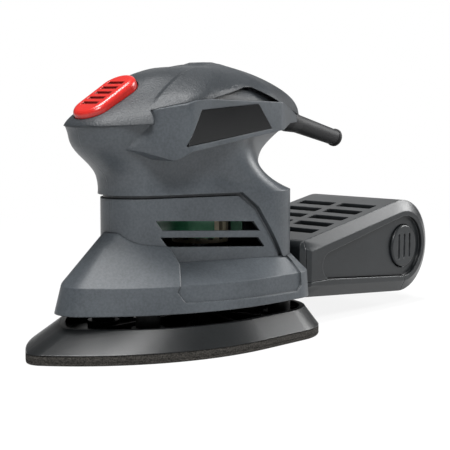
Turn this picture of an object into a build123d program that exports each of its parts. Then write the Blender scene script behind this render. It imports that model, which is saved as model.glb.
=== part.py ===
# Palm sander with an iron-shaped pad and a clip-on dust box.
# Millimetres. The origin is where the motor axis meets the sanding face, +Z is up,
# the tip of the pad points along -X and the dust box trails along +X.
import os
from math import acos, atan2, cos, degrees, hypot, pi, radians, sin, sqrt, tan

from build123d import *

os.makedirs("parts", exist_ok=True)

# Fits
seam_gap = 0.15          # between two fixed mouldings
slide_gap = 0.35         # between pieces that move past each other
shaft_gap = 0.05         # radial, shaft in a bearing
seat_gap = 0.02          # radial, a piece pressed on the shaft or in its seat
wall = 2.6               # moulded wall of the housing

# Sanding pad
pad_length = 152.0
pad_width = 105.0
pad_tip = -105.7
pad_widest = -12.0
pad_tip_radius = 8.0
pad_corner_radius = 28.0
pad_rear_bow = 5.0
felt_thickness = 4.5
rim_height = 13.0
rim_inset_tip = 20.0
rim_inset_side = 8.0
rim_inset_rear = 3.0
rim_wall = 2.5
pad_floor = 2.5
pad_rib_count = 10
pad_rib_thickness = 1.8
pad_rib_height = 3.4
dust_hole_diameter = 9.0
dust_hole_count = 6
dust_hole_circle = 31.0
orbit_radius = 1.0       # offset of the eccentric pin

# Skirt: three outlines, with a crease round the middle one
skirt_bottom = 19.0
skirt_crease = 31.0
skirt_top = 39.5
skirt_bottom_tip = -88.5
skirt_crease_tip = -84.5
skirt_bottom_width = 94.0
skirt_crease_width = 92.0
skirt_widest = 4.0
skirt_rear = 37.5
skirt_ledge = 0.9        # stands proud of the barrel
skirt_nose_radius = 12.0
nose_top = 53.0          # raised nose of the skirt
nose_top_tip = -60.5
nose_top_rear = -42.0
nose_top_width = 17.0
nose_top_widest = -50.5
nose_top_radius = 7.0
nose_top_corner = 6.0
skirt_corner_radius = 17.0
skirt_bow = 2.0
panel_depth = 0.9

# Motor barrel and waist: outlines drawn round discs
barrel_nose = -42.0
barrel_nose_radius = 17.0
barrel_shoulder = 14.0
barrel_shoulder_spread = 20.0
barrel_shoulder_radius = 18.0
barrel_rear = 12.0
barrel_rear_radius = 20.0
barrel_top = 70.0
belt_step = 1.2
belt_groove = 1.6
belt_groove_depth = 1.2
vent_height = 4.6
vent_pitch = 7.6
vent_first = 48.6        # height of the lower slot's middle at its front end
vent_length = 50.0
vent_starts = (7.5, 5.0)     # along the flank, lower slot first
vent_tilt = -2.6
vent_rake = 3.4
leg_foot = 38.5

# Head
wing_half_width = 36.5
wing_bottom = 84.0
head_front = -79.0
head_rear = 68.0
head_top = 130.5
scoop_height = 5.5
scoop_depth = 2.2

# Motor
plate_bottom = 21.0
plate_thickness = 3.0
shaft_diameter = 8.0
shaft_top_diameter = 6.0
shaft_top = 110.0
big_bearing = (8.0, 22.0, 7.0)      # bore, outside, width
small_bearing = (6.0, 19.0, 6.0)
lower_bearing_bottom = 26.0
upper_bearing_bottom = 103.5
counterweight_radius = 20.0
counterweight_thickness = 5.0
counterweight_bottom = 15.2
fan_bottom = 34.5
fan_radius = 29.0
fan_height = 8.0
fan_blades = 14
armature_radius = 13.7
armature_slots = 14
coil_bottom = 44.5
stator_bottom = 60.0
stator_height = 22.0
stator_radius = 25.0
air_gap = 0.6
commutator_radius = 9.0
commutator_bottom = 90.0
commutator_height = 9.0
field_drop = 12.0
field_rise = 6.0
bridge_reach = 22.0
brush_size = 5.0

# Dust box
box_front = 40.0
box_front_bottom = 14.5
box_front_top = 43.0
box_rear_centre = (128.0, 33.0)
box_rear_radius = 25.0
box_half_width = 33.0
box_bevel_depth = 3.0
box_top_half_width = box_half_width - box_bevel_depth
box_bevel_angle = 63.0
box_corner = 3.5
box_wall = 2.0
recess_depth = 2.0
recess_front = (62.0, 29.0)
recess_front_radius = 7.0
recess_rear_radius = 16.5
button_radius = 11.5
spout_radius = 9.0
spout_height = 29.0
spout_wall = 1.6
spout_length = 19.0
grille_rows = 5
grille_pitch = 12.5
grille_slot = (7.0, 23.0)
grille_rib = 4.0
grille_middle = 84.0
filter_thickness = 2.0
button_flange = 1.5

# Switch key and cord sleeve
key_length = 35.0
key_width = 18.0
key_slope = 30.0
key_middle = (-61.0, 113.0)
key_proud = 3.2
key_depth = 5.0
key_rib_pitch = 4.4
key_rib_count = 5
switch_size = (24.0, 14.0, 12.0)
switch_drop = 3.0
sleeve_start = (66.0, 101.8)
sleeve_slope = 13.7
sleeve_length = 43.0
sleeve_root_length = 8.0
sleeve_lip = 1.6
sleeve_radius = 4.3
sleeve_root_radius = 6.0
cord_bore_radius = 3.4

pad_rear = pad_tip + pad_length
floor_top = felt_thickness + pad_floor
plate_top = plate_bottom + plate_thickness
stator_top = stator_bottom + stator_height
post_spots = [(-50.0, 15.0), (-50.0, -15.0), (24.0, 30.0), (24.0, -30.0)]
post_radius = 5.5
screw_spots = [(-49.0, 64.0), (-52.0, 86.0), (33.0, 97.0)]
screw_radius = 1.9
screw_head_radius = 3.6
screw_head_height = 2.6
screw_bite = 7.0         # depth into the left half
screw_seat = 5.0         # from the seam to the underside of the head
boss_radius = 5.2
cradle_bottom = 71.5
cradle_top = 78.0
post_pin_radius = 3.0


def iron_outline(tip, rear, width, widest, tip_radius, corner_radius, bow):
    # Nose, two bowed flanks, two straight sides and a bowed rear, all tangent.
    half = width / 2
    reach = widest - tip - tip_radius
    flank_radius = (reach**2 + half**2 - tip_radius**2) / (2 * (half - tip_radius))
    nose_angle = degrees(atan2(flank_radius - half, -reach))
    rear_radius = (half**2 + bow**2) / (2 * bow)
    spread = half - corner_radius
    stretch = sqrt((rear_radius - corner_radius) ** 2 - spread**2)
    corner = rear - rear_radius + stretch
    rear_angle = degrees(atan2(spread, stretch))
    with BuildSketch() as outline:
        with BuildLine():
            CenterArc((tip + tip_radius, 0), tip_radius, nose_angle, 360 - 2 * nose_angle)
            CenterArc((widest, flank_radius - half), flank_radius, -nose_angle, nose_angle - 90)
            Line((widest, -half), (corner, -half))
            CenterArc((corner, -spread), corner_radius, -90, 90 - rear_angle)
            CenterArc((rear - rear_radius, 0), rear_radius, -rear_angle, 2 * rear_angle)
            CenterArc((corner, spread), corner_radius, rear_angle, 90 - rear_angle)
            Line((corner, half), (widest, half))
            CenterArc((widest, half - flank_radius), flank_radius, 90, nose_angle - 90)
        make_face()
    return outline.sketch


def hull_outline(discs, grow=0.0):
    # A tight outline round discs (x, y, radius) that are listed anticlockwise.
    ring = list(zip(discs, discs[1:] + discs[:1]))
    normals = []
    for (x0, y0, r0), (x1, y1, r1) in ring:
        heading = atan2(y1 - y0, x1 - x0)
        normals.append(heading - acos((r0 - r1) / hypot(x1 - x0, y1 - y0)))
    with BuildSketch() as outline:
        with BuildLine():
            for i, ((x0, y0, r0), (x1, y1, r1)) in enumerate(ring):
                sweep = (normals[i] - normals[i - 1]) % (2 * pi)
                CenterArc((x0, y0), r0 + grow, degrees(normals[i - 1]), degrees(sweep))
                across = (cos(normals[i]), sin(normals[i]))
                Line(
                    (x0 + (r0 + grow) * across[0], y0 + (r0 + grow) * across[1]),
                    (x1 + (r1 + grow) * across[0], y1 + (r1 + grow) * across[1]),
                )
        make_face()
    return outline.sketch


def boat(nose, nose_radius, middle, spread, middle_radius, rear, rear_radius):
    return [
        (nose, 0, nose_radius),
        (middle, -spread, middle_radius),
        (rear, 0, rear_radius),
        (middle, spread, middle_radius),
    ]


def sector(inner, outer, middle_angle, half_angle):
    with BuildSketch() as wedge:
        with BuildLine():
            start = middle_angle - half_angle
            near = CenterArc((0, 0), inner, start, 2 * half_angle)
            far = CenterArc((0, 0), outer, start, 2 * half_angle)
            Line(near @ 0, far @ 0)
            Line(near @ 1, far @ 1)
        make_face()
    return wedge.sketch


def side_prism(points, half_width=80.0):
    # A prism through the whole width with a side outline of (x, z) points.
    with BuildPart() as prism:
        with BuildSketch(Plane.XZ):
            with BuildLine():
                Polyline(*points, close=True)
            make_face()
        extrude(amount=half_width, both=True)
    return prism.part


def bearing_form(bore, outside, width):
    shield = (outside - bore) / 2 * 0.28
    with BuildPart() as ring:
        Cylinder(outside / 2, width, align=(Align.CENTER, Align.CENTER, Align.MIN))
        Cylinder(bore / 2, width, align=(Align.CENTER, Align.CENTER, Align.MIN), mode=Mode.SUBTRACT)
        for level in (0, width):
            with BuildSketch(Plane.XY.offset(level)):
                Circle(outside / 2 - shield)
                Circle(bore / 2 + shield, mode=Mode.SUBTRACT)
            extrude(amount=0.4, both=True, mode=Mode.SUBTRACT)
    return ring.part


def finish(piece, name):
    piece.label = name
    export_step(piece, f"parts/{name}.step")


# Sanding pad
pad_outline = (pad_tip, pad_rear, pad_width, pad_widest, pad_tip_radius, pad_corner_radius, pad_rear_bow)
rim_outline = (
    pad_tip + rim_inset_tip,
    pad_rear - rim_inset_rear,
    pad_width - 2 * rim_inset_side,
    pad_widest,
    pad_tip_radius,
    pad_corner_radius - rim_inset_rear,
    pad_rear_bow,
)
hub_radius = big_bearing[1] / 2 + 3.5
seat_bottom = felt_thickness + 2.0
tip_holes = [(pad_tip + 43.0, 9.0), (pad_tip + 43.0, -9.0), (pad_tip + 30.0, 0.0)]

with BuildPart() as pad_felt:
    with BuildSketch():
        add(iron_outline(*pad_outline))
        with PolarLocations(dust_hole_circle, dust_hole_count, start_angle=30):
            Circle(dust_hole_diameter / 2, mode=Mode.SUBTRACT)
        with Locations(*tip_holes):
            Circle(dust_hole_diameter / 2, mode=Mode.SUBTRACT)
    extrude(amount=felt_thickness)
finish(pad_felt.part, "pad_felt")

with BuildPart() as pad_plate:
    with BuildSketch(Plane.XY.offset(felt_thickness)):
        add(iron_outline(*pad_outline))
    with BuildSketch(Plane.XY.offset(rim_height)):
        add(iron_outline(*rim_outline))
    loft(ruled=True)
    with BuildSketch(Plane.XY.offset(floor_top)):
        add(iron_outline(*rim_outline))
        offset(amount=-rim_wall)
    extrude(amount=rim_height, mode=Mode.SUBTRACT)
    with BuildSketch(Plane.XY.offset(floor_top)):
        with PolarLocations(0, pad_rib_count // 2):
            Rectangle(2 * pad_length, pad_rib_thickness)
        with BuildSketch(mode=Mode.INTERSECT):
            add(iron_outline(*rim_outline))
    extrude(amount=pad_rib_height)
    with BuildSketch(Plane.XY.offset(floor_top)):
        with Locations((orbit_radius, 0)):
            Circle(hub_radius)
    extrude(amount=seat_bottom + big_bearing[2] - floor_top)
    with BuildSketch(Plane.XY.offset(floor_top)):
        with Locations(*post_spots):
            Circle(post_radius + 2.0)
    extrude(amount=pad_rib_height)
    with BuildSketch(Plane.XY.offset(seat_bottom)):
        with Locations((orbit_radius, 0)):
            Circle(big_bearing[1] / 2 + seat_gap)
    extrude(amount=rim_height, mode=Mode.SUBTRACT)
    with BuildSketch(Plane.XY.offset(felt_thickness)):
        with PolarLocations(dust_hole_circle, dust_hole_count, start_angle=30):
            Circle(dust_hole_diameter / 2)
        with Locations(*tip_holes):
            Circle(dust_hole_diameter / 2)
    extrude(amount=rim_height, mode=Mode.SUBTRACT)
finish(pad_plate.part, "pad_plate")

# Outer forms of the housing, each built a given amount larger or smaller
barrel_discs = boat(
    barrel_nose,
    barrel_nose_radius,
    barrel_shoulder,
    barrel_shoulder_spread,
    barrel_shoulder_radius,
    barrel_rear,
    barrel_rear_radius,
)
belt_discs = [(x, y, radius + belt_step) for x, y, radius in barrel_discs]
waist_sections = [
    (barrel_top, belt_discs),
    (85.0, boat(-48.0, 17.0, -3.0, 15.5, 17.0, 13.5, 19.5)),
    (95.0, boat(-54.0, 18.5, -12.0, 15.5, 19.0, 34.0, 14.0)),
    (103.0, boat(head_front + 18.5, 20.0, -15.0, 16.0, 20.0, head_rear - 13.0, 12.0)),
]


def barge(nose, nose_radius, fore, fore_spread, fore_radius, aft, aft_spread, aft_radius, rear, rear_radius):
    return [
        (nose, 0, nose_radius),
        (fore, -fore_spread, fore_radius),
        (aft, -aft_spread, aft_radius),
        (rear, 0, rear_radius),
        (aft, aft_spread, aft_radius),
        (fore, fore_spread, fore_radius),
    ]


wing_discs = barge(
    head_front + 29.0, 19.0,
    -41.0, wing_half_width - 8.0, 8.0,
    18.0, wing_half_width - 9.5, 9.0,
    head_rear - 12.0, 12.0,
)
dome_sections = [
    (96.0, barge(head_front + 20.5, 20.0, -40.0, 27.0, 9.0, 17.0, 26.5, 9.0, head_rear - 12.0, 12.0)),
    (106.0, barge(-54.0, 20.0, -40.0, 26.2, 9.8, 16.0, 25.7, 9.8, head_rear - 11.0, 11.5)),
    (112.0, barge(-44.5, 18.5, -33.0, 22.0, 12.8, 14.0, 21.5, 12.8, 52.0, 12.0)),
    (118.0, barge(-35.5, 16.5, -24.0, 15.5, 15.0, 11.0, 15.0, 15.0, 41.0, 12.0)),
    (123.0, barge(-29.5, 13.5, -17.0, 10.0, 13.5, 8.0, 9.5, 13.5, 28.0, 11.0)),
    (127.0, barge(-19.0, 9.0, -10.0, 5.5, 9.5, 6.0, 5.5, 9.5, 16.0, 8.0)),
    (head_top, barge(-6.0, 2.5, -3.0, 1.3, 2.6, 4.0, 1.3, 2.6, 8.0, 2.5)),
]


def prism_form(discs, grow, bottom, top, taper=0.0):
    with BuildPart() as form:
        with BuildSketch(Plane.XY.offset(bottom)):
            add(hull_outline(discs, grow))
        extrude(amount=top - bottom, taper=taper)
    return form.part


def stack_form(sections, grow, drop=0.0):
    with BuildPart() as form:
        for height, discs in sections:
            with BuildSketch(Plane.XY.offset(height - drop)):
                add(hull_outline(discs, grow))
        loft()
    return form.part


def skirt_outline(tip, width, inset):
    return iron_outline(
        tip + inset,
        skirt_rear - inset,
        width - 2 * inset,
        skirt_widest,
        skirt_nose_radius - inset,
        skirt_corner_radius - inset,
        skirt_bow,
    )


def skirt_form(inset):
    with BuildPart() as form:
        with BuildSketch(Plane.XY.offset(skirt_bottom)):
            add(skirt_outline(skirt_bottom_tip, skirt_bottom_width, inset))
        with BuildSketch(Plane.XY.offset(skirt_crease)):
            add(skirt_outline(skirt_crease_tip, skirt_crease_width, inset))
        with BuildSketch(Plane.XY.offset(skirt_top - inset / 3)):
            add(hull_outline(barrel_discs, skirt_ledge - inset))
        loft(ruled=True)
    return form.part


def nose_form(inset):
    with BuildPart() as form:
        with BuildSketch(Plane.XY.offset(skirt_bottom)):
            add(skirt_outline(skirt_bottom_tip, skirt_bottom_width, inset))
        with BuildSketch(Plane.XY.offset(skirt_crease)):
            add(skirt_outline(skirt_crease_tip, skirt_crease_width, inset))
        with BuildSketch(Plane.XY.offset(nose_top)):
            add(
                iron_outline(
                    nose_top_tip + inset,
                    nose_top_rear - inset,
                    nose_top_width - 2 * inset,
                    nose_top_widest,
                    nose_top_radius - inset,
                    nose_top_corner - inset,
                    skirt_bow,
                )
            )
        loft(ruled=True)
    return form.part


# Side outlines, (x, z)
far = 100.0
parting = [(-far, 100.0), (-57, 102.0), (-55.5, 108.0), (-38, 112.5), (-31, 113.0)]
parting_rear = [(19, 111.5), (62, 105.0), (far, 103.0)]
scoop_over = [(-3, 113.0 + scoop_height), (3, 113.0 + scoop_height)]
wing_outline = [(-53, 120), (-60, 91), (-49, 86.0), (-43, 90.0), (40, 101.0), (75, 101.0), (75, 120)]
leg_edge = [(-6, barrel_top), (2, 63), (16, leg_foot)]
leg_outline = leg_edge + [(far, leg_foot), (far, barrel_top)]
groove_edge = [(x - belt_groove * 0.7, z - belt_groove) for x, z in leg_edge]
groove_outline = (
    [(-far, barrel_top)] + leg_edge + [(far, leg_foot), (far, leg_foot - belt_groove)]
    + groove_edge[::-1] + [(-far, barrel_top - belt_groove)]
)
nose_edge = [(-39, nose_top), (-42, skirt_top), (-49.5, 28.5), (-46.5, 23.5)]
nose_outline = nose_edge + [(-46.5, -far), (-far, -far), (-far, nose_top)]
panel_outline = nose_edge + [(18, 22.5), (21, 25), (21, 36), (18, 42), (18, nose_top)]

# The flat flank of the barrel, which carries the vents
flank_heading = atan2(-barrel_shoulder_spread, barrel_shoulder - barrel_nose)
flank_lean = acos(
    (barrel_nose_radius - barrel_shoulder_radius)
    / hypot(barrel_shoulder - barrel_nose, barrel_shoulder_spread)
)
flank_normal = (cos(flank_heading - flank_lean), sin(flank_heading - flank_lean), 0)
flank_plane = Plane(
    origin=(
        barrel_nose + barrel_nose_radius * flank_normal[0],
        barrel_nose_radius * flank_normal[1],
        0,
    ),
    x_dir=(-flank_normal[1], flank_normal[0], 0),
    z_dir=flank_normal,
)

sleeve_plane = Plane(
    origin=(sleeve_start[0], 0, sleeve_start[1]),
    x_dir=(0, 1, 0),
    z_dir=(cos(radians(sleeve_slope)), 0, -sin(radians(sleeve_slope))),
)
key_plane = Plane(
    origin=(key_middle[0], 0, key_middle[1]),
    x_dir=(cos(radians(key_slope)), 0, sin(radians(key_slope))),
    z_dir=(-sin(radians(key_slope)), 0, cos(radians(key_slope))),
)
badge_corners = [(-45.5, 92.2), (11.5, 99.2), (2.0, 110.6), (-36.5, 108.2)]
badge_thickness = 1.2
badge_sink = 0.8



def key_point(along, up):
    spot = key_plane.from_local_coords((along, 0, up))
    return (spot.X, spot.Z)


def vent_corners(row, start):
    low = vent_first + row * vent_pitch - vent_height / 2
    drop = vent_length * tan(radians(vent_tilt))
    return [
        (start, low),
        (start + vent_length, low + drop),
        (start + vent_length - vent_rake, low + drop + vent_height),
        (start - vent_rake, low + vent_height),
    ]


switch_bottom = -key_depth - switch_drop - switch_size[2]
switch_shelf = [
    key_point(along, level)
    for along, level in (
        (-switch_size[0], switch_bottom), (switch_size[0], switch_bottom),
        (switch_size[0], switch_bottom - wall), (-switch_size[0], switch_bottom - wall),
    )
]
cradle_outline = [(-far, cradle_bottom), (far, cradle_bottom), (far, cradle_top), (-far, cradle_top)]
bridge_bottom = commutator_bottom + commutator_height + 1.5
ledge_outline = [
    (-8, bridge_bottom - wall), (8, bridge_bottom - wall),
    (8, bridge_bottom), (-8, bridge_bottom),
]

# Ribs inside the housing: a cradle round the stator, shelves for the switch and the brush bridge
with BuildPart() as ribs:
    add(side_prism(cradle_outline))
    Cylinder(stator_radius + seat_gap, 4 * far, mode=Mode.SUBTRACT)
    add(side_prism(switch_shelf))
    add(side_prism(ledge_outline) - side_prism(ledge_outline, bridge_reach - 4.0))
    with BuildSketch(Plane.XZ):
        with Locations(*screw_spots):
            Circle(boss_radius)
    extrude(amount=far, both=True)
    add(
        stack_form(waist_sections, -wall / 2) + prism_form(barrel_discs, -wall / 2, plate_top, barrel_top),
        mode=Mode.INTERSECT,
    )

with BuildPart() as clamshell:
    add(prism_form(barrel_discs, 0, plate_top, barrel_top))
    add(side_prism(groove_outline) - prism_form(barrel_discs, -belt_groove_depth, 0, far), mode=Mode.SUBTRACT)
    add(stack_form(waist_sections, 0))
    add(prism_form(wing_discs, 0, wing_bottom, 118.0, 2.0) & side_prism(wing_outline))
    add(prism_form(barrel_discs, belt_step, leg_foot, barrel_top) & side_prism(leg_outline))
    add(side_prism(parting + parting_rear + [(far, 140), (-far, 140)]), mode=Mode.SUBTRACT)
    add(prism_form(barrel_discs, -wall, plate_top - 1, barrel_top), mode=Mode.SUBTRACT)
    add(stack_form(waist_sections, -wall), mode=Mode.SUBTRACT)
    add(prism_form(waist_sections[-1][1], -wall, waist_sections[-1][0], 118.0), mode=Mode.SUBTRACT)
    add(
        prism_form(wing_discs, -wall, wing_bottom, 118.0, 2.0)
        & side_prism([(x + wall, z + wall) for x, z in wing_outline]),
        mode=Mode.SUBTRACT,
    )
    add(ribs.part)
    with BuildSketch(flank_plane):
        for row, start in enumerate(vent_starts):
            with BuildLine():
                Polyline(*vent_corners(row, start), close=True)
            make_face()
    extrude(amount=wall * 3, both=True, mode=Mode.SUBTRACT)
    with BuildSketch(sleeve_plane):
        Circle(sleeve_root_radius + seat_gap)
    extrude(amount=20, both=True, mode=Mode.SUBTRACT)
    split(bisect_by=Plane.XZ, keep=Keep.TOP)
    with BuildSketch(Plane.XZ.offset(wing_half_width - badge_thickness - badge_sink)):
        with BuildLine():
            Polyline(*badge_corners, close=True)
        make_face()
    extrude(amount=far, mode=Mode.SUBTRACT)

# The left half takes the screw points, the right half the heads
with BuildPart() as left_housing:
    add(clamshell.part)
    with BuildSketch(Plane.XZ):
        with Locations(*screw_spots):
            Circle(screw_radius + seat_gap)
    extrude(amount=screw_bite + 1.0, mode=Mode.SUBTRACT)
finish(left_housing.part, "left_housing")

with BuildPart() as right_housing:
    mirror(clamshell.part, about=Plane.XZ)
    with BuildSketch(Plane.XZ):
        with Locations(*screw_spots):
            Circle(screw_radius + seam_gap)
    extrude(amount=-far, mode=Mode.SUBTRACT)
    with BuildSketch(Plane.XZ.offset(-screw_seat)):
        with Locations(*screw_spots):
            Circle(screw_head_radius + seam_gap)
    extrude(amount=-far, mode=Mode.SUBTRACT)
finish(right_housing.part, "right_housing")

with BuildPart() as housing_screws:
    with BuildSketch(Plane.XZ.offset(screw_bite)):
        with Locations(*screw_spots):
            Circle(screw_radius)
    extrude(amount=-screw_bite - screw_seat)
    with BuildSketch(Plane.XZ.offset(-screw_seat)):
        with Locations(*screw_spots):
            Circle(screw_head_radius)
    extrude(amount=-screw_head_height)
    with BuildSketch(Plane.XZ.offset(-screw_seat - screw_head_height)):
        with Locations(*screw_spots):
            Rectangle(screw_radius, 0.7)
            Rectangle(0.7, screw_radius)
    extrude(amount=1.2, mode=Mode.SUBTRACT)
finish(housing_screws.part, "housing_screws")

with BuildPart() as skirt:
    add(skirt_form(0))
    add(side_prism(panel_outline) - skirt_form(panel_depth), mode=Mode.SUBTRACT)
    add(nose_form(0) & side_prism(nose_outline))
    add(skirt_form(wall), mode=Mode.SUBTRACT)
    add(nose_form(wall) & side_prism([(x - wall, z) for x, z in nose_outline]), mode=Mode.SUBTRACT)
    add(prism_form(barrel_discs, seam_gap, 0, far), mode=Mode.SUBTRACT)
    add(
        prism_form(barrel_discs, belt_step + seam_gap, leg_foot - seam_gap, far) & side_prism(leg_outline),
        mode=Mode.SUBTRACT,
    )
    with BuildSketch(Plane.YZ.offset(skirt_rear)):
        with Locations((0, spout_height)):
            Circle(spout_radius + seat_gap)
    extrude(amount=3 * wall, both=True, mode=Mode.SUBTRACT)
finish(skirt.part, "skirt")

scoop_zone = side_prism([parting[-1]] + scoop_over + [parting_rear[0], (19, 100), (-31, 100)])
scoop_lining = side_prism([(-40, 100), (-36, 118), (-6, 123), (6, 123), (26, 117), (30, 100)])

with BuildPart() as top_cover:
    add(stack_form(dome_sections, 0))
    add(stack_form(dome_sections[:-1], -wall, wall / 2), mode=Mode.SUBTRACT)
    add(scoop_zone - stack_form(dome_sections[:-1], -scoop_depth, scoop_depth / 2), mode=Mode.SUBTRACT)
    add(
        (stack_form(dome_sections[:-1], -scoop_depth, scoop_depth / 2) & scoop_lining)
        - stack_form(dome_sections[:-1], -scoop_depth - wall, scoop_depth)
    )
    add(side_prism(parting + parting_rear + [(far, 60), (-far, 60)]), mode=Mode.SUBTRACT)
    with BuildSketch(key_plane):
        SlotOverall(key_length + 2 * slide_gap, key_width + 2 * slide_gap)
    extrude(amount=20, both=True, mode=Mode.SUBTRACT)
    with BuildSketch(sleeve_plane):
        Circle(sleeve_root_radius + seat_gap)
    extrude(amount=20, both=True, mode=Mode.SUBTRACT)
finish(top_cover.part, "top_cover")

# Bare gloss plates in the wings
with BuildPart() as left_badge:
    with BuildSketch(Plane.XZ.offset(wing_half_width - badge_thickness - badge_sink)):
        with BuildLine():
            Polyline(*badge_corners, close=True)
        make_face()
        offset(amount=-seam_gap, kind=Kind.INTERSECTION)
    extrude(amount=badge_thickness)
finish(left_badge.part, "left_badge")

with BuildPart() as right_badge:
    mirror(left_badge.part, about=Plane.XZ)
finish(right_badge.part, "right_badge")

# Red rocker key, ribbed across its crown, and the switch under it
with BuildPart() as switch_key:
    with BuildSketch(key_plane.offset(-key_depth)):
        SlotOverall(key_length, key_width)
    extrude(amount=key_depth + key_proud)
    fillet(switch_key.faces().sort_by(Axis.Z)[-1].edges(), 2.4)
    with BuildSketch(key_plane.offset(key_proud)):
        with GridLocations(key_rib_pitch, 0, key_rib_count, 1):
            Rectangle(key_rib_pitch / 2, key_width - 8.0)
    extrude(amount=-1.0, mode=Mode.SUBTRACT)
finish(switch_key.part, "switch_key")

with BuildPart() as switch_body:
    with BuildSketch(key_plane.offset(-key_depth - switch_drop)):
        with Locations((2.0, 0)):
            Rectangle(*switch_size[:2])
    extrude(amount=-switch_size[2])
    chamfer(switch_body.edges().filter_by(Axis.Y), 1.0)
    with BuildSketch(key_plane.offset(-key_depth - switch_drop)):
        with GridLocations(12.0, 0, 2, 1):
            RectangleRounded(5.0, 8.0, 1.0)
    extrude(amount=switch_drop - slide_gap - 1.2)
finish(switch_body.part, "switch_body")

# Rubber bend sleeve for the cord
with BuildPart() as cord_sleeve:
    with BuildSketch(sleeve_plane):
        Circle(sleeve_root_radius)
    with BuildSketch(sleeve_plane.offset(sleeve_root_length)):
        Circle(sleeve_radius + 0.5)
    with BuildSketch(sleeve_plane.offset(sleeve_length - sleeve_lip)):
        Circle(sleeve_radius)
    loft(ruled=True)
    with BuildSketch(sleeve_plane.offset(sleeve_length - sleeve_lip)):
        Circle(sleeve_radius + 0.5)
    extrude(amount=sleeve_lip)
    fillet(cord_sleeve.edges().sort_by(Axis.X)[-2:], 0.45)
    with BuildSketch(sleeve_plane):
        Circle(sleeve_root_radius)
    extrude(amount=-sleeve_root_length)
    with BuildSketch(sleeve_plane):
        Circle(cord_bore_radius)
    extrude(amount=2 * sleeve_length, both=True, mode=Mode.SUBTRACT)
finish(cord_sleeve.part, "cord_sleeve")

# Bearing plate: floor of the housing, with the hub of the lower bearing
hub_top = lower_bearing_bottom + big_bearing[2]
with BuildPart() as bearing_plate:
    with BuildSketch(Plane.XY.offset(plate_bottom)):
        add(
            iron_outline(
                skirt_crease_tip + wall + seam_gap,
                skirt_rear - wall - seam_gap,
                skirt_crease_width - 2 * (wall + seam_gap),
                skirt_widest,
                skirt_nose_radius - wall,
                skirt_corner_radius - wall,
                skirt_bow,
            )
        )
        with Locations(*post_spots):
            Circle(post_pin_radius + seam_gap, mode=Mode.SUBTRACT)
    extrude(amount=plate_thickness)
    with BuildSketch(Plane.XY.offset(plate_top)):
        Circle(hub_radius)
    extrude(amount=hub_top - plate_top)
    with BuildSketch(Plane.XY.offset(plate_bottom)):
        Circle(big_bearing[1] / 2 - 3.0)
    extrude(amount=lower_bearing_bottom - plate_bottom, mode=Mode.SUBTRACT)
    with BuildSketch(Plane.XY.offset(lower_bearing_bottom)):
        Circle(big_bearing[1] / 2 + seat_gap)
    extrude(amount=big_bearing[2], mode=Mode.SUBTRACT)
finish(bearing_plate.part, "bearing_plate")

with BuildPart() as lower_bearing:
    add(bearing_form(*big_bearing).moved(Location((0, 0, lower_bearing_bottom))))
finish(lower_bearing.part, "lower_bearing")

with BuildPart() as upper_bearing:
    add(bearing_form(*small_bearing).moved(Location((0, 0, upper_bearing_bottom))))
finish(upper_bearing.part, "upper_bearing")

with BuildPart() as eccentric_bearing:
    add(bearing_form(*big_bearing).moved(Location((orbit_radius, 0, seat_bottom))))
finish(eccentric_bearing.part, "eccentric_bearing")

# Rubber posts between the bearing plate and the pad
with BuildPart() as pad_posts:
    with BuildSketch(Plane.XY.offset(floor_top + pad_rib_height + slide_gap)):
        with Locations(*post_spots):
            Circle(post_radius)
    extrude(until=None, amount=plate_bottom - floor_top - pad_rib_height - slide_gap)
    with BuildSketch(Plane.XY.offset(plate_bottom)):
        with Locations(*post_spots):
            Circle(post_pin_radius)
    extrude(amount=plate_thickness)
finish(pad_posts.part, "pad_posts")

# Spout that carries the dust to the box
with BuildPart() as dust_spout:
    with BuildSketch(Plane.YZ.offset(skirt_rear - wall)):
        with Locations((0, spout_height)):
            Circle(spout_radius)
            Circle(spout_radius - spout_wall, mode=Mode.SUBTRACT)
    extrude(amount=spout_length)
finish(dust_spout.part, "dust_spout")

# Rotor
with BuildPart() as rotor_shaft:
    with BuildSketch(Plane.XY.offset(seat_bottom + 0.5)):
        with Locations((orbit_radius, 0)):
            Circle(big_bearing[0] / 2 - shaft_gap)
    extrude(amount=counterweight_bottom - seat_bottom - 0.5)
    with BuildSketch(Plane.XY.offset(counterweight_bottom)):
        Circle(shaft_diameter / 2 - shaft_gap)
    extrude(amount=upper_bearing_bottom - 1.0 - counterweight_bottom)
    with BuildSketch(Plane.XY.offset(counterweight_bottom)):
        Circle(shaft_top_diameter / 2 - shaft_gap)
    extrude(amount=shaft_top - counterweight_bottom)
finish(rotor_shaft.part, "rotor_shaft")

with BuildPart() as counterweight:
    with BuildSketch(Plane.XY.offset(counterweight_bottom)):
        add(sector(shaft_diameter / 2, counterweight_radius, 180, 80))
        Circle(shaft_diameter / 2 + 4.5)
        Circle(shaft_diameter / 2 - shaft_gap + seat_gap, mode=Mode.SUBTRACT)
    extrude(amount=counterweight_thickness)
finish(counterweight.part, "counterweight")

with BuildPart() as fan:
    with BuildSketch(Plane.XY.offset(fan_bottom)):
        Circle(fan_radius)
    extrude(amount=1.5)
    with BuildSketch(Plane.XY.offset(fan_bottom)):
        Circle(shaft_diameter / 2 + 4.0)
    extrude(amount=fan_height)
    with BuildSketch(Plane.XY.offset(fan_bottom)):
        with PolarLocations(fan_radius * 0.72, fan_blades):
            Rectangle(fan_radius * 0.5, 1.2, rotation=28)
    extrude(amount=fan_height)
    with BuildSketch(Plane.XY.offset(fan_bottom)):
        Circle(shaft_diameter / 2 - shaft_gap + seat_gap)
    extrude(amount=fan_height, mode=Mode.SUBTRACT)
finish(fan.part, "fan")

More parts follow.
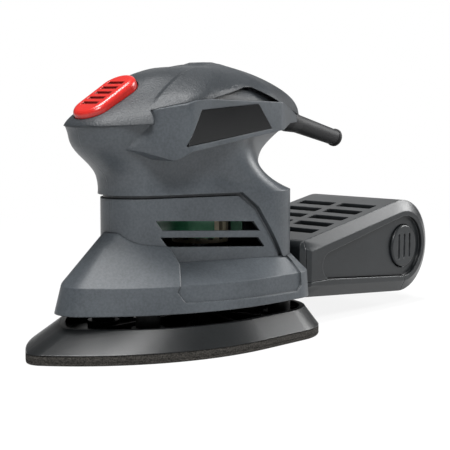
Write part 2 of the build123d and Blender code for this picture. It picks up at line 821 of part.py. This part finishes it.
coil_top = stator_top + 5.0
bar_inner = armature_radius - 2.2
bar_half_angle = 180 / armature_slots * 0.58
with BuildPart() as armature_core:
    with BuildSketch(Plane.XY.offset(coil_bottom + 1.5)):
        Circle(bar_inner - 0.05)
        Circle(shaft_diameter / 2 - shaft_gap + seat_gap, mode=Mode.SUBTRACT)
    extrude(amount=coil_top - coil_bottom - 3.0)
    with BuildSketch(Plane.XY.offset(stator_bottom)):
        for i in range(armature_slots):
            bar_angle = (i + 0.5) * 360 / armature_slots
            add(sector(bar_inner - 1, armature_radius, bar_angle, bar_half_angle * 0.62))
    extrude(amount=stator_height)
finish(armature_core.part, "armature_core")

with BuildPart() as armature_coils:
    with BuildSketch(Plane.XY.offset(coil_bottom)):
        for i in range(armature_slots):
            add(sector(bar_inner, armature_radius, i * 360 / armature_slots, bar_half_angle))
    extrude(amount=coil_top - coil_bottom)
    for level in (coil_bottom, coil_top - 1.5):
        with BuildSketch(Plane.XY.offset(level)):
            Circle(armature_radius)
            Circle(shaft_diameter / 2 + 2.0, mode=Mode.SUBTRACT)
        extrude(amount=1.5)
finish(armature_coils.part, "armature_coils")

with BuildPart() as commutator:
    with BuildSketch(Plane.XY.offset(commutator_bottom)):
        Circle(commutator_radius)
        Circle(shaft_diameter / 2 - shaft_gap + seat_gap, mode=Mode.SUBTRACT)
    extrude(amount=commutator_height)
    with BuildSketch(Plane.XY.offset(commutator_bottom)):
        with PolarLocations(commutator_radius, armature_slots):
            Rectangle(2.0, 0.5)
    extrude(amount=commutator_height, mode=Mode.SUBTRACT)
finish(commutator.part, "commutator")

# Stator
bore_radius = armature_radius + air_gap
pole_half_angle = 38.0
coil_half_angle = 62.0
coil_outer = stator_radius - 4.0
with BuildPart() as stator_core:
    with BuildSketch(Plane.XY.offset(stator_bottom)):
        Circle(stator_radius)
        Circle(bore_radius, mode=Mode.SUBTRACT)
        for side in (90, 270):
            add(sector(bore_radius - 1, coil_outer + 0.3, side, 90 - pole_half_angle), mode=Mode.SUBTRACT)
    extrude(amount=stator_height)
finish(stator_core.part, "stator_core")

with BuildPart() as field_coils:
    for side in (0, 180):
        with BuildSketch(Plane.XY.offset(stator_bottom - field_drop)):
            add(sector(bore_radius + 1.0, coil_outer, side, coil_half_angle))
        extrude(amount=field_drop - 0.1)
        with BuildSketch(Plane.XY.offset(stator_top + 0.1)):
            add(sector(bore_radius + 1.0, coil_outer, side, coil_half_angle))
        extrude(amount=field_rise)
        leg_half_angle = (coil_half_angle - pole_half_angle - 1.0) / 2
        for turn in (-1, 1):
            with BuildSketch(Plane.XY.offset(stator_bottom - 0.1)):
                leg_angle = side + turn * (coil_half_angle - leg_half_angle)
                add(sector(bore_radius + 1.0, coil_outer, leg_angle, leg_half_angle))
            extrude(amount=stator_height + 0.2)
finish(field_coils.part, "field_coils")

# Bridge over the commutator: seat of the upper bearing, with two brush holders
with BuildPart() as brush_bridge:
    with BuildSketch(Plane.XY.offset(bridge_bottom)):
        Circle(small_bearing[1] / 2 + 3.0)
        Rectangle(12.0, 2 * bridge_reach)
    extrude(amount=upper_bearing_bottom + small_bearing[2] - bridge_bottom)
    with BuildSketch(Plane.XY.offset(bridge_bottom)):
        Circle(shaft_diameter / 2 + 1.5)
    extrude(amount=upper_bearing_bottom - bridge_bottom, mode=Mode.SUBTRACT)
    with BuildSketch(Plane.XY.offset(upper_bearing_bottom)):
        Circle(small_bearing[1] / 2 + seat_gap)
    extrude(amount=small_bearing[2], mode=Mode.SUBTRACT)
finish(brush_bridge.part, "brush_bridge")

brush_middle = commutator_bottom + commutator_height / 2
holder_inner = commutator_radius + 2.0
holder_outer = bridge_reach - 4.5
with BuildPart() as brush_holders:
    for side in (-1, 1):
        with BuildSketch(Plane.XZ.offset(side * holder_inner)):
            with Locations((0, brush_middle)):
                Rectangle(brush_size + 3.0, commutator_height)
                Rectangle(brush_size + 2 * seam_gap, brush_size + 2 * seam_gap, mode=Mode.SUBTRACT)
        extrude(amount=side * (holder_outer - holder_inner))
        with BuildSketch(Plane.XY.offset(brush_middle + commutator_height / 2)):
            with Locations((0, side * (holder_outer + holder_inner) / 2)):
                Rectangle(brush_size + 3.0, holder_outer - holder_inner)
        extrude(amount=bridge_bottom - brush_middle - commutator_height / 2)
finish(brush_holders.part, "brush_holders")

with BuildPart() as carbon_brushes:
    for side in (-1, 1):
        with BuildSketch(Plane.XZ.offset(side * (commutator_radius + slide_gap))):
            with Locations((0, brush_middle)):
                Rectangle(brush_size, brush_size)
        extrude(amount=side * (holder_outer - commutator_radius - 2 * slide_gap))
finish(carbon_brushes.part, "carbon_brushes")

# Dust box
box_discs = [
    (box_front + box_corner, box_front_top - box_corner, box_corner),
    (box_front + box_corner, box_front_bottom + box_corner, box_corner),
    (*box_rear_centre, box_rear_radius),
]
recess_discs = [(*recess_front, recess_front_radius), (*box_rear_centre, recess_rear_radius)]


def box_form():
    with BuildPart() as form:
        with BuildSketch(Plane.XZ):
            add(hull_outline(box_discs))
        extrude(amount=box_top_half_width)
        with BuildSketch(Plane.XZ.offset(box_top_half_width)):
            add(hull_outline(box_discs))
        extrude(amount=box_bevel_depth, taper=box_bevel_angle)
        mirror(about=Plane.XZ)
    return form.part


with BuildPart() as box_cavity:
    with BuildSketch(Plane.XZ):
        add(hull_outline(box_discs, -box_wall))
    extrude(amount=box_half_width - recess_depth - box_wall, both=True)

tray_edge = box_front + box_wall + 1.0
lid_line = recess_front[1] - recess_front_radius
lid_drop = box_rear_centre[1] - recess_rear_radius
tray_outline = [
    (box_front - far, -far), (box_front - far, far), (tray_edge, far), (tray_edge, lid_line),
    (recess_front[0], lid_line), (box_rear_centre[0], lid_drop), (box_rear_centre[0], -far),
]
lid_outline = [
    (tray_edge + slide_gap, far), (tray_edge + slide_gap, lid_line + slide_gap),
    (recess_front[0], lid_line + slide_gap), (box_rear_centre[0] + slide_gap, lid_drop + slide_gap),
    (box_rear_centre[0] + slide_gap, -far), (2 * far, -far), (2 * far, far),
]

with BuildPart() as dust_tray:
    add(box_form())
    add(box_cavity.part, mode=Mode.SUBTRACT)
    add(side_prism(tray_outline), mode=Mode.INTERSECT)
    with BuildSketch(Plane.YZ.offset(box_front)):
        with Locations((0, spout_height)):
            Circle(spout_radius + slide_gap)
    extrude(amount=2 * box_wall, both=True, mode=Mode.SUBTRACT)
finish(dust_tray.part, "dust_tray")

with BuildPart() as dust_lid:
    add(box_form())
    add(box_cavity.part, mode=Mode.SUBTRACT)
    add(side_prism(lid_outline), mode=Mode.INTERSECT)
    for side in (-1, 1):
        with BuildSketch(Plane.XZ.offset(side * (box_half_width - recess_depth))):
            add(hull_outline(recess_discs))
        extrude(amount=side * far, mode=Mode.SUBTRACT)
    with BuildSketch(Plane.XZ):
        with Locations(box_rear_centre):
            Circle(button_radius + slide_gap)
    extrude(amount=far, both=True, mode=Mode.SUBTRACT)
    with BuildSketch(Plane.XY.offset(box_front_top - box_wall)):
        with Locations((grille_middle, 0)):
            with GridLocations(grille_pitch, grille_slot[1] + grille_rib, grille_rows, 2):
                RectangleRounded(*grille_slot, 1.0)
    extrude(amount=far, mode=Mode.SUBTRACT)
finish(dust_lid.part, "dust_lid")

with BuildPart() as dust_filter:
    add(box_cavity.part)
    add(box_cavity.part.moved(Location((0, 0, -filter_thickness))), mode=Mode.SUBTRACT)
    with BuildSketch(Plane.XY.offset(box_front_top - box_wall - filter_thickness)):
        with Locations((grille_middle, 0)):
            Rectangle(grille_pitch * grille_rows + 4.0, 2 * box_top_half_width - 8.0)
    extrude(amount=far, mode=Mode.INTERSECT)
finish(dust_filter.part, "dust_filter")

# Release buttons, trapped by a flange behind the wall of the lid
panel_inside = box_half_width - recess_depth - box_wall
with BuildPart() as left_button:
    with BuildSketch(Plane.XZ.offset(panel_inside - button_flange - slide_gap)):
        with Locations(box_rear_centre):
            Circle(button_radius)
    extrude(amount=box_half_width - 0.4 - panel_inside + button_flange + slide_gap)
    fillet(left_button.faces().sort_by(Axis.Y)[0].edges(), 1.0)
    with BuildSketch(Plane.XZ.offset(panel_inside - button_flange - slide_gap)):
        with Locations(box_rear_centre):
            Circle(button_radius + 2.0)
    extrude(amount=button_flange)
    with BuildSketch(Plane.XZ.offset(box_half_width - 0.4)):
        with Locations(box_rear_centre):
            with GridLocations(5.0, 0, 3, 1):
                SlotOverall(13.5, 1.8, rotation=90)
    extrude(amount=-0.9, mode=Mode.SUBTRACT)
finish(left_button.part, "left_button")

with BuildPart() as right_button:
    mirror(left_button.part, about=Plane.XZ)
finish(right_button.part, "right_button")
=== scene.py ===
from math import radians

import bmesh
import bpy
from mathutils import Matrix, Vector


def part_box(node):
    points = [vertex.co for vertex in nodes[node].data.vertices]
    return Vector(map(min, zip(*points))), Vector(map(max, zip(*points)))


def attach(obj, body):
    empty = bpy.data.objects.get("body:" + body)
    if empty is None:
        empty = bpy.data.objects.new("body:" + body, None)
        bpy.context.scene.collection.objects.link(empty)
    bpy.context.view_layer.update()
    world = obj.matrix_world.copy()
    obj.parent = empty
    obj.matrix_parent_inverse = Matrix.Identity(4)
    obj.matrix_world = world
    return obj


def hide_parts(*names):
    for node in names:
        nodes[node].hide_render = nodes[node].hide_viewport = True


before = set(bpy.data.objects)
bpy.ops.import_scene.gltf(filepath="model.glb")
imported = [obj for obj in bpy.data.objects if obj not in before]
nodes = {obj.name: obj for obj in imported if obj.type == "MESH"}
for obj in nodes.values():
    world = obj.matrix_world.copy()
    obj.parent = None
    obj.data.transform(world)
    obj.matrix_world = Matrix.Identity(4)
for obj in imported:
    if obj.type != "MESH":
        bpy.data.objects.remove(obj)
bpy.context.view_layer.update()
print("frame loaded:", len(nodes), "pieces")


class Signal:  # one output socket, with arithmetic
    def __init__(self, graph, socket):
        self.graph = graph
        self.socket = socket

    def __add__(self, other):
        return self.graph.math("ADD", self, other)

    def __radd__(self, other):
        return self.graph.math("ADD", other, self)

    def __sub__(self, other):
        return self.graph.math("SUBTRACT", self, other)

    def __rsub__(self, other):
        return self.graph.math("SUBTRACT", other, self)

    def __mul__(self, other):
        return self.graph.math("MULTIPLY", self, other)

    def __rmul__(self, other):
        return self.graph.math("MULTIPLY", other, self)


class Graph:  # one node tree
    def __init__(self, tree):
        self.tree = tree

    def node(self, kind, settings, inputs, output=0):
        made = self.tree.nodes.new(kind)
        for key, value in settings.items():
            setattr(made, key, value)
        for key, value in inputs.items():
            self.feed(made.inputs[key], value)
        return Signal(self, made.outputs[output])

    def feed(self, socket, value):
        if isinstance(value, Signal):
            self.tree.links.new(value.socket, socket)
        else:
            socket.default_value = (*value, 1) if socket.type == "RGBA" else value

    def math(self, operation, first, second):
        return self.node("ShaderNodeMath", {"operation": operation}, {0: first, 1: second})

    def spread(self, value, span, onto=(0.0, 1.0)):
        ends = zip(("From Min", "From Max", "To Min", "To Max"), (*span, *onto))
        return self.node("ShaderNodeMapRange", {}, {"Value": value, **dict(ends)})


class Finish(Graph):  # one material, on Object coordinates
    def __init__(self, name):
        self.material = bpy.data.materials.new(name)
        self.material.use_nodes = True
        super().__init__(self.material.node_tree)
        self.shader = self.tree.nodes["Principled BSDF"]
        self.place = self.node("ShaderNodeTexCoord", {}, {}, "Object")

    def shade(self, **values):
        for key, value in values.items():
            self.feed(self.shader.inputs[key.replace("_", " ")], value)

    def noise(self, scale, detail, stretch=None):
        place = self.place
        if stretch:
            place = self.node("ShaderNodeMapping", {}, {"Vector": place, "Scale": stretch})
        return self.node("ShaderNodeTexNoise", {}, {"Vector": place, "Scale": scale, "Detail": detail})

    def mix(self, share, first, second):
        ends = {"Factor": share, "A": first, "B": second}
        return self.node("ShaderNodeMix", {"data_type": "RGBA"}, ends, "Result")

    def bump(self, height, strength, depth, **more):
        relief = {"Strength": strength, "Distance": depth, "Height": height, **more}
        return self.node("ShaderNodeBump", {}, relief)


moulding = {
    "rays": 6, "fine": 2.0, "roughSwing": 0.02,  # samples for edges and grooves, detail of the grain
    "lean": (0.015, 0.2), "patch": (220.0, 3.0), "patchSpan": (0.35, 0.7),  # edges are rubbed in patches; their paler colour is partly a painted highlight
    "flow": (38.0, 4.0), "flowSpan": (0.3, 0.7), "flowShare": 0.6,  # scale and detail of the flow marks
    "speck": 0.6, "speckSpan": (0.35, 0.65), "speckShare": 0.4,  # specks are coarser than the grain
    # painted shade: how far the ambient occlusion looks, and how dark it paints grooves, recesses and the
    # parts under overhangs
    "shadeReach": 0.013, "shadeSpan": (0.2, 0.8), "shadeMost": 0.8, "shadeTone": 0.2,
}


def moulded(name, look):
    # moulded plastic: eased edges, spark-eroded grain, faint flow marks, paler rubbed edges that are partly a
    # painted highlight, painted shade in grooves and under overhangs
    made = Finish(name)
    eased = made.node("ShaderNodeBevel", {"samples": moulding["rays"]}, {"Radius": look["edge"]})
    straight = made.node("ShaderNodeNewGeometry", {}, {}, "Normal")
    facing = made.node("ShaderNodeVectorMath", {"operation": "DOT_PRODUCT"}, {0: eased, 1: straight}, "Value")
    patch = made.spread(made.noise(*moulding["patch"]), moulding["patchSpan"])
    # paler edges: partly wear, partly a painted highlight along the edges
    rubbedAndGlint = made.spread(1 - facing, moulding["lean"]) * patch
    flow = made.spread(made.noise(*moulding["flow"]), moulding["flowSpan"])
    coarse = made.noise(look["grain"] * moulding["speck"], moulding["fine"])
    speck = made.spread(coarse, moulding["speckSpan"])
    blend = flow * moulding["flowShare"] + speck * moulding["speckShare"]
    tone = made.mix(blend, look["dark"], look["light"])
    # painted shade: ambient occlusion darkens the base colour in grooves, recesses and under overhangs
    reach = {"Distance": moulding["shadeReach"]}
    bare = made.node("ShaderNodeAmbientOcclusion", {"samples": moulding["rays"]}, reach, "AO")
    paintedShade = made.spread(1 - bare, moulding["shadeSpan"], (0.0, moulding["shadeMost"]))
    tone = made.mix(paintedShade, tone, tuple(moulding["shadeTone"] * part for part in look["dark"]))
    smoothest = look["rough"] - moulding["roughSwing"]
    roughest = look["rough"] + moulding["roughSwing"]
    grain = made.noise(look["grain"], moulding["fine"])
    made.shade(
        Base_Color=made.mix(rubbedAndGlint * look["rub"], tone, look["wornAndGlint"]),
        Roughness=made.spread(flow, (0.0, 1.0), (smoothest, roughest)),
        Normal=made.bump(grain, look["bump"], look["depth"], Normal=eased),
        Specular_IOR_Level=look["gloss"],
    )
    return made.material


# each plastic's edge colour is paler than its body: partly wear, partly a painted highlight
plastics = {
    "shell": {
        "dark": (0.032, 0.037, 0.042), "light": (0.060, 0.068, 0.076), "wornAndGlint": (0.13, 0.14, 0.15),
        "rub": 0.4, "rough": 0.4, "gloss": 0.32,
        "edge": 0.0008, "grain": 1500.0, "bump": 0.2, "depth": 0.0002,
    },
    "cover": {
        "dark": (0.014, 0.0165, 0.019), "light": (0.030, 0.034, 0.038), "wornAndGlint": (0.1, 0.11, 0.115),
        "rub": 0.4, "rough": 0.46, "gloss": 0.26,
        "edge": 0.0008, "grain": 1250.0, "bump": 0.55, "depth": 0.0004,
    },
    "key": {
        "dark": (0.36, 0.013, 0.010), "light": (0.44, 0.018, 0.013), "wornAndGlint": (0.66, 0.06, 0.05),
        "rub": 0.4, "rough": 0.27, "gloss": 0.5,
        "edge": 0.0009, "grain": 1600.0, "bump": 0.04, "depth": 0.0002,
    },
    "badge": {
        "dark": (0.005, 0.0053, 0.0057), "light": (0.007, 0.0073, 0.0077), "wornAndGlint": (0.04, 0.04, 0.04),
        "rub": 0.2, "rough": 0.14, "gloss": 0.28,
        "edge": 0.0003, "grain": 1600.0, "bump": 0.02, "depth": 0.0001,
    },
    "box": {
        "dark": (0.006, 0.0074, 0.0083), "light": (0.0135, 0.0158, 0.0176), "wornAndGlint": (0.11, 0.12, 0.13),
        "rub": 0.5, "rough": 0.35, "gloss": 0.36,
        "edge": 0.0008, "grain": 1500.0, "bump": 0.08, "depth": 0.0002,
    },
    "pad": {
        "dark": (0.0055, 0.0062, 0.0067), "light": (0.0095, 0.0105, 0.011), "wornAndGlint": (0.08, 0.083, 0.085),
        "rub": 0.3, "rough": 0.3, "gloss": 0.26,
        "edge": 0.0005, "grain": 1500.0, "bump": 0.08, "depth": 0.0002,
    },
    "inner": {
        "dark": (0.008, 0.008, 0.009), "light": (0.012, 0.012, 0.013), "wornAndGlint": (0.04, 0.04, 0.04),
        "rub": 0.3, "rough": 0.55, "gloss": 0.35,
        "edge": 0.0004, "grain": 1500.0, "bump": 0.25, "depth": 0.0002,
    },
    "rubber": {
        "dark": (0.007, 0.007, 0.008), "light": (0.010, 0.010, 0.011), "wornAndGlint": (0.03, 0.03, 0.03),
        "rub": 0.3, "rough": 0.58, "gloss": 0.34,
        "edge": 0.0005, "grain": 1500.0, "bump": 0.3, "depth": 0.0002,
    },
    "coil": {
        "dark": (0.03, 0.17, 0.085), "light": (0.05, 0.25, 0.125), "wornAndGlint": (0.1, 0.3, 0.15),
        "rub": 0.3, "rough": 0.35, "gloss": 0.5,
        "edge": 0.0004, "grain": 900.0, "bump": 0.3, "depth": 0.0003,
    },
    "cream": {
        "dark": (0.52, 0.46, 0.32), "light": (0.7, 0.63, 0.47), "wornAndGlint": (0.76, 0.7, 0.55),
        "rub": 0.3, "rough": 0.45, "gloss": 0.4,
        "edge": 0.0003, "grain": 900.0, "bump": 0.3, "depth": 0.0003,
    },
}
skins = {name: moulded(name, look) for name, look in plastics.items()}
print("plastics:", len(skins))


turning = {"detail": 3.0, "span": (0.3, 0.7), "roughSwing": 0.08, "bump": 0.2, "depth": 0.0001}


def metal(name, look):
    # metal with fine lines across its axis
    made = Finish(name)
    lines = made.noise(look["lines"], turning["detail"], look["stretch"])
    smoothest = look["rough"] - turning["roughSwing"]
    roughest = look["rough"] + turning["roughSwing"]
    made.shade(
        Base_Color=made.mix(made.spread(lines, turning["span"]), look["dark"], look["light"]),
        Roughness=made.spread(lines, turning["span"], (smoothest, roughest)),
        Normal=made.bump(lines, turning["bump"], turning["depth"]),
        Metallic=1.0,
    )
    return made.material


metals = {
    "steel": {
        "dark": (0.42, 0.43, 0.44), "light": (0.6, 0.61, 0.62), "rough": 0.3,
        "lines": 500.0, "stretch": (1, 1, 6),
    },
    "laminate": {
        "dark": (0.11, 0.1, 0.095), "light": (0.2, 0.19, 0.18), "rough": 0.5,
        "lines": 300.0, "stretch": (1, 1, 12),
    },
    "copper": {
        "dark": (0.45, 0.2, 0.1), "light": (0.62, 0.32, 0.18), "rough": 0.3,
        "lines": 400.0, "stretch": (1, 1, 5),
    },
    "cast": {
        "dark": (0.09, 0.09, 0.092), "light": (0.15, 0.15, 0.155), "rough": 0.55,
        "lines": 700.0, "stretch": (1, 1, 1),
    },
}
skins.update({name: metal(name, look) for name, look in metals.items()})
print("metals:", len(metals))

wear = {
    "shell": ["left_housing", "right_housing", "skirt"],
    "cover": ["top_cover"],
    "key": ["switch_key"],
    "badge": ["left_badge", "right_badge"],
    "box": ["dust_tray", "dust_lid", "left_button", "right_button"],
    "pad": ["pad_plate"],
    "rubber": ["cord_sleeve", "pad_posts"],
    "coil": ["field_coils"],
    "cream": ["armature_coils"],
    "inner": ["switch_body", "bearing_plate", "dust_spout", "fan", "brush_bridge", "carbon_brushes"],
    "steel": ["housing_screws", "lower_bearing", "upper_bearing", "eccentric_bearing", "rotor_shaft"],
    "laminate": ["armature_core", "stator_core"],
    "copper": ["commutator", "brush_holders"],
    "cast": ["counterweight"],
}
for skin, names in wear.items():
    for name in names:
        nodes[name].data.materials.clear()
        nodes[name].data.materials.append(skins[skin])
print("finishes on the frame")


making = {
    "join": 0.000005, "onPlane": 0.000001, "near": 0.00001,  # how close points count as one, or as on a cut
    "flat": radians(0.5), "rim": 1.0, "sharp": radians(15.0),  # angles between faces
}


def merged(name):
    # a copy of a frame piece's mesh, with its loose triangles joined up
    form = bmesh.new()
    form.from_mesh(nodes[name].data)
    bmesh.ops.remove_doubles(form, verts=form.verts, dist=making["join"])
    return form


def softBlank(name, rounding, steps):
    # a merged copy with whole flat faces and rounded rims
    form = merged(name)
    bmesh.ops.dissolve_limit(form, angle_limit=making["flat"], verts=form.verts, edges=form.edges)
    rims = [edge for edge in form.edges if edge.is_manifold and edge.calc_face_angle() > making["rim"]]
    bmesh.ops.bevel(
        form, geom=rims, offset=rounding, offset_type="OFFSET", affect="EDGES", segments=steps, profile=0.5,
        material=-1,
    )
    return form


def cut(form, faces, spot, normal):
    # divides the given faces where a plane meets them
    edges = dict.fromkeys(edge for face in faces for edge in face.edges)
    points = dict.fromkeys(vert for face in faces for vert in face.verts)
    bmesh.ops.bisect_plane(
        form, geom=[*faces, *edges, *points], plane_co=spot, plane_no=normal, dist=making["onPlane"],
    )


def pinch(form, axis, levels, depth):
    # draws in the points that lie on cuts across an axis
    form.normal_update()
    for vert in form.verts:
        if min(abs(getattr(vert.co, axis) - level) for level in levels) < making["near"]:
            vert.co -= vert.normal * depth
    bmesh.ops.recalc_face_normals(form, faces=form.faces)


def furnish(form, name, material):
    # makes a finished form an object of the scene
    mesh = bpy.data.meshes.new(name)
    form.to_mesh(mesh)
    form.free()
    mesh.materials.append(material)
    piece = bpy.data.objects.new(name, mesh)
    bpy.context.scene.collection.objects.link(piece)
    return piece


def stand(form, name, node, slot):
    # puts a reshaped copy of a shell in its node's place, smooth but for its own edges
    form.normal_update()
    for face in form.faces:
        face.smooth = True
    for edge in form.edges:
        edge.smooth = edge.calc_face_angle(0.0) < making["sharp"]
    piece = furnish(form, name, skins[slot])
    carried = piece.data.attributes
    if "custom_normal" in carried:
        carried.remove(carried["custom_normal"])
    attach(piece, "housing")
    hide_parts(node)


def ease(value, low, high):
    share = min(1.0, max(0.0, (value - low) / (high - low)))
    return share * share * (3 - 2 * share)


felt = {
    "round": 0.0009, "roundSteps": 3, "seam": 0.0016, "tuck": 0.0004, "fill": 0.95,
    "dark": (0.014, 0.013, 0.012), "light": (0.06, 0.056, 0.05), "gloss": 0.15,
    "fibre": (3200.0, 6.0), "clump": (1300.0, 3.0),  # scale and detail
    "toneSpan": (0.16, 0.36), "fibreSpan": (0.3, 0.7), "rough": (0.85, 1.0), "bump": 0.9, "depth": 0.0008,
}
# the rubbing face: a felt layer bonded under a thin foam, with a tucked seam between them
soft = softBlank("pad_felt", felt["round"], felt["roundSteps"])
for level in (felt["seam"] - felt["tuck"], felt["seam"], felt["seam"] + felt["tuck"]):
    cut(soft, soft.faces[:], (0, 0, level), (0, 0, 1))
pinch(soft, "z", [felt["seam"]], felt["tuck"])
nap = Finish("felt")
fibre = nap.noise(*felt["fibre"])
clump = nap.noise(*felt["clump"])
nap.shade(
    Base_Color=nap.mix(nap.spread(fibre * clump, felt["toneSpan"]), felt["dark"], felt["light"]),
    Roughness=nap.spread(fibre, felt["fibreSpan"], felt["rough"]),
    Normal=nap.bump(fibre + clump, felt["bump"], felt["depth"]),
    Specular_IOR_Level=felt["gloss"],
)
feltFace = furnish(soft, "felt_face", nap.material)
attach(feltFace, "pad")
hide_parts("pad_felt")
print("felt:", len(feltFace.data.vertices), "points")


neck = {
    "firstRow": 0.076, "rowStep": 0.002, "rows": 14, "cutsTo": -0.04,  # cuts that the belt bends along
    "reach": 0.0056, "swell": (0.0775, 0.0905), "fade": (0.0915, 0.103),  # the belt's depth and heights
    "length": (0.046, 0.068), "flank": (0.015, 0.021),
}
# the housing halves with the round belt under the cover's front edge
for side in ("left", "right"):
    shell = merged(side + "_housing")
    for row in range(neck["rows"]):
        front = [face for face in shell.faces if face.calc_center_median().x < neck["cutsTo"]]
        cut(shell, front, (0, 0, neck["firstRow"] + neck["rowStep"] * row), (0, 0, 1))
    for vert in shell.verts:
        x, y, z = vert.co
        upright = ease(z, *neck["swell"]) * (1 - ease(z, *neck["fade"]))
        forward = ease(-x, *neck["length"]) * (1 - ease(abs(y), *neck["flank"]))
        vert.co.x -= neck["reach"] * upright * forward
    stand(shell, side + "_shell", side + "_housing", "shell")
print("housing halves belted")


crown = {
    "start": Vector((-0.0546, 0.0212, 0)), "run": Vector((0.97, -0.2425, 0)),  # the crease, seen from above
    "cuts": (-0.0006, 0.0002, 0.001, 0.0018), "step": 0.0011, "tail": (-0.012, 0.012), "hem": (0.109, 0.115),
    "crest": 0.127, "middle": 0.001, "half": 0.0095, "droop": 0.0013,  # the dome on top
}
# the cover with its raised shoulders, and its top eased to a dome
cover = merged("top_cover")
outward = Vector((-crown["run"].y, crown["run"].x, 0))
for hand in (-1, 1):
    turn = Vector((1, hand, 1))
    for offset in crown["cuts"]:
        beside = [face for face in cover.faces if face.calc_center_median().y * hand > 0]
        cut(cover, beside, (crown["start"] + outward * offset) * turn, outward * turn)
cover.normal_update()
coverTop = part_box("top_cover")[1][2]
for vert in cover.verts:
    x, y, z = vert.co
    beyond = (Vector((x, abs(y), 0)) - crown["start"]).dot(outward)
    share = ease(beyond, crown["cuts"][0], crown["cuts"][-1]) * (1 - ease(x, *crown["tail"]))
    vert.co += vert.normal * crown["step"] * share * ease(z, *crown["hem"])
    along = (vert.co.x - crown["middle"]) / crown["half"]
    vert.co.z -= crown["droop"] * min(1.0, along * along) * ease(vert.co.z, crown["crest"], coverTop)
stand(cover, "cover_shell", "top_cover", "cover")
print("cover crowned")


filterLook = {
    "round": 0.0014, "roundSteps": 2, "rows": 9, "pleat": 0.0012, "fill": 0.9,
    "dark": (0.012, 0.012, 0.013), "light": (0.05, 0.05, 0.048), "weave": (1500.0, 4.0),
    "toneSpan": (0.35, 0.65), "roughSpan": (0.3, 0.7), "rough": (0.8, 1.0), "bump": 0.7, "depth": 0.0004,
}
# the dust filter: a pleated cloth panel inside the box, pinched in along its rows
cloth = softBlank("dust_filter", filterLook["round"], filterLook["roundSteps"])
filterLow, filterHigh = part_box("dust_filter")
rowStep = (filterHigh[0] - filterLow[0]) / filterLook["rows"]
folds = [filterLow[0] + rowStep * (row + 0.5) for row in range(filterLook["rows"])]
for fold in folds:
    for spot in (fold - rowStep / 2, fold, fold + rowStep / 2):
        cut(cloth, cloth.faces[:], (spot, 0, 0), (1, 0, 0))
pinch(cloth, "x", folds, filterLook["pleat"])
woven = Finish("filter_cloth")
threads = woven.noise(*filterLook["weave"])
raised = woven.spread(threads, filterLook["toneSpan"])
woven.shade(
    Base_Color=woven.mix(raised, filterLook["dark"], filterLook["light"]),
    Roughness=woven.spread(threads, filterLook["roughSpan"], filterLook["rough"]),
    Normal=woven.bump(threads, filterLook["bump"], filterLook["depth"]),
)
filterCloth = furnish(cloth, "filter_cloth", woven.material)
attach(filterCloth, "box_lid")
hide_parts("dust_filter")
print("filter:", len(filterCloth.data.vertices), "points")


studio = {
    "floor": 4.0, "floorTone": (0.7, 0.7, 0.7), "floorRough": 0.9, "white": (1, 1, 1),
    "lift": 0.88, "fade": (0.25, 0.6),  # how far the floor is lifted to white, and where its shadow fades out
    "sky": 0.07, "seenBy": {"Is Camera Ray": 1.0, "Is Glossy Ray": 0.15, "Is Transmission Ray": 1.0},
    "aim": (0, 0, 0.06),
    "lamps": [  # place, size, power
        ((-0.14, 0.0, 1.15), 0.5, 21.0), ((-0.5, -0.7, 0.85), 0.3, 13.0), ((0.95, -0.4, 0.5), 0.4, 8.0),
        ((0.95, 0.85, 0.55), 0.5, 0.6),
    ],
}
ground = Finish("floor")
ground.shade(Base_Color=studio["floorTone"], Roughness=studio["floorRough"])
rays = [ground.node("ShaderNodeLightPath", {}, {}, kind) for kind in studio["seenBy"]]
glow = ground.node("ShaderNodeEmission", {}, {"Color": studio["white"], "Strength": 1.0})
away = ground.node("ShaderNodeVectorMath", {"operation": "LENGTH"}, {0: ground.place}, "Value")
clear = ground.spread(away, studio["fade"], (studio["lift"], 1.0))
matt = Signal(ground, ground.shader.outputs[0])
lifted = ground.node("ShaderNodeMixShader", {}, {0: sum(rays[1:], rays[0]) * clear, 1: matt, 2: glow})
ground.feed(ground.tree.nodes["Material Output"].inputs["Surface"], lifted)
sheet = bmesh.new()
bmesh.ops.create_grid(sheet, x_segments=1, y_segments=1, size=studio["floor"])
floor = furnish(sheet, "floor", ground.material)

# the world is white to the eye, dim in reflections and dimmer as light
world = bpy.data.worlds.new("studio")
bpy.context.scene.world = world
world.use_nodes = True
sky = Graph(world.node_tree)
seen = studio["sky"]
for kind, level in studio["seenBy"].items():
    ray = sky.node("ShaderNodeLightPath", {}, {}, kind)
    seen = sky.math("MAXIMUM", seen, ray * level)
backdrop = world.node_tree.nodes["Background"]
sky.feed(backdrop.inputs["Color"], studio["white"])
sky.feed(backdrop.inputs["Strength"], seen)

for place, size, power in studio["lamps"]:
    lamp = bpy.data.lights.new("softbox", "AREA")
    lamp.size = size
    lamp.energy = power
    holder = bpy.data.objects.new("softbox", lamp)
    holder.location = place
    holder.rotation_euler = (Vector(studio["aim"]) - Vector(place)).to_track_quat("-Z", "Y").to_euler()
    bpy.context.scene.collection.objects.link(holder)
print("studio lit")

lensSpec = {
    "place": (-0.4184, -0.3956, 0.1137), "gaze": (0.7224, 0.6832, -0.1066),
    "lens": 95.3, "shift": 0.0556, "nearest": 0.01,
}
lens = bpy.data.cameras.new("camera")
lens.lens = lensSpec["lens"]
lens.shift_x = lensSpec["shift"]
lens.clip_start = lensSpec["nearest"]
camera = bpy.data.objects.new("camera", lens)
camera.location = lensSpec["place"]
camera.rotation_euler = Vector(lensSpec["gaze"]).to_track_quat("-Z", "Y").to_euler()
bpy.context.scene.collection.objects.link(camera)
bpy.context.scene.camera = camera
bpy.context.scene.view_settings.view_transform = "Standard"
print("camera set")
